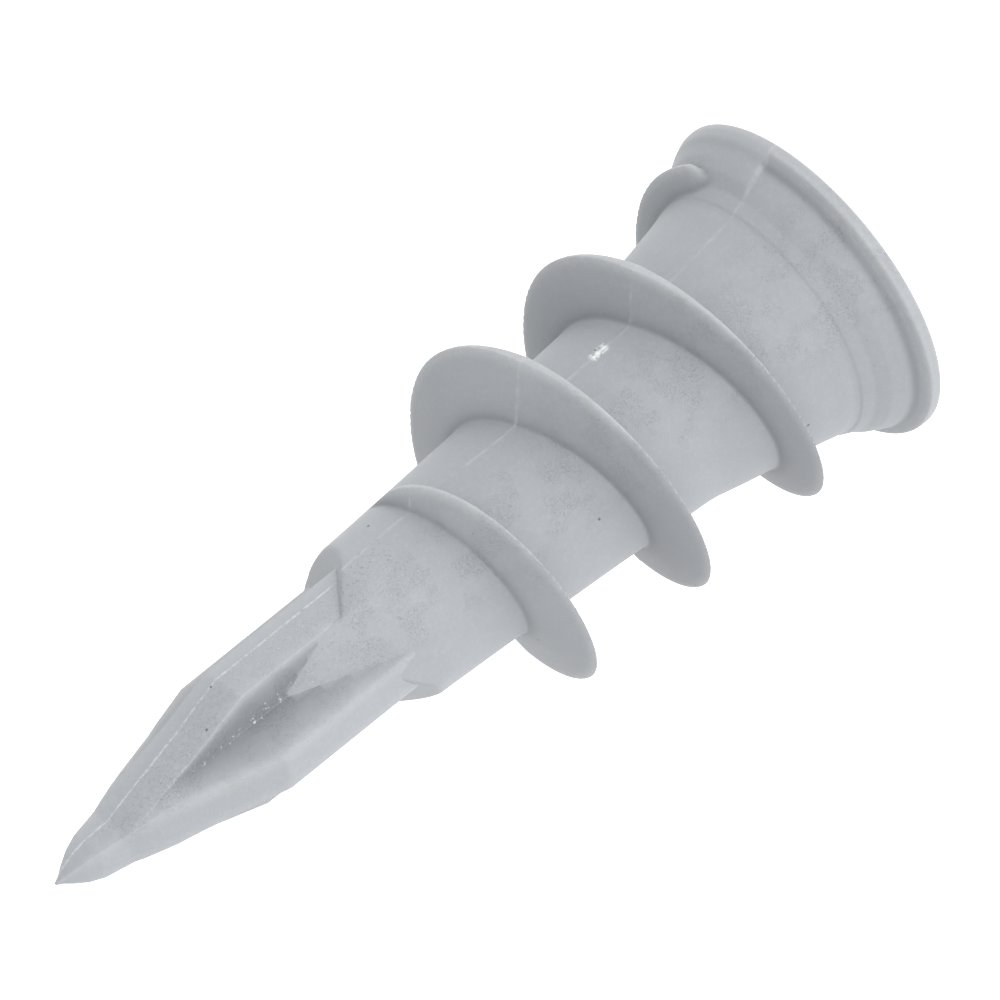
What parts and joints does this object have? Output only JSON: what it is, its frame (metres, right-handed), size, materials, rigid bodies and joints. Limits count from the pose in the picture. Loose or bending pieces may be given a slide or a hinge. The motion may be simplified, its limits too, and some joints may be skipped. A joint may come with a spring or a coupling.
{
  "type": "self-drilling wall anchor",
  "caption": "Nylon self-drilling wall anchor: round flange with a driver recess, tapered tube with a coarse outer thread, and a fluted drill point whose legs spread around a screw.",
  "frame": {"origin": "centre of the flange's outer face, where the fixture rests", "axes": "+Z along the anchor's axis towards the drill tip; the mould's parting plane, which splits the drill point, is the YZ plane"},
  "size_m": [0.0136, 0.0136, 0.038],
  "materials": {
    "sleeve_nylon": "matte moulded grey nylon",
    "left_leg_nylon": "matte moulded grey nylon",
    "right_leg_nylon": "matte moulded grey nylon"
  },
  "bodies": {
    "sleeve": {"anchor_sleeve": "sleeve_nylon"},
    "left_leg": {"drill_leg_left": "left_leg_nylon"},
    "right_leg": {"drill_leg_right": "right_leg_nylon"}
  },
  "joints": [
    {"name": "left_leg_flex", "type": "hinge", "parent": "sleeve", "child": "left_leg", "pos_m": [-0.00306, 0, 0.0224], "axis": [0, -1, 0], "range_deg": [0, 30], "stiffness_Nm_per_rad": 0.02},
    {"name": "right_leg_flex", "type": "hinge", "parent": "sleeve", "child": "right_leg", "pos_m": [0.00306, 0, 0.0224], "axis": [0, 1, 0], "range_deg": [0, 30], "stiffness_Nm_per_rad": 0.02}
  ]
}
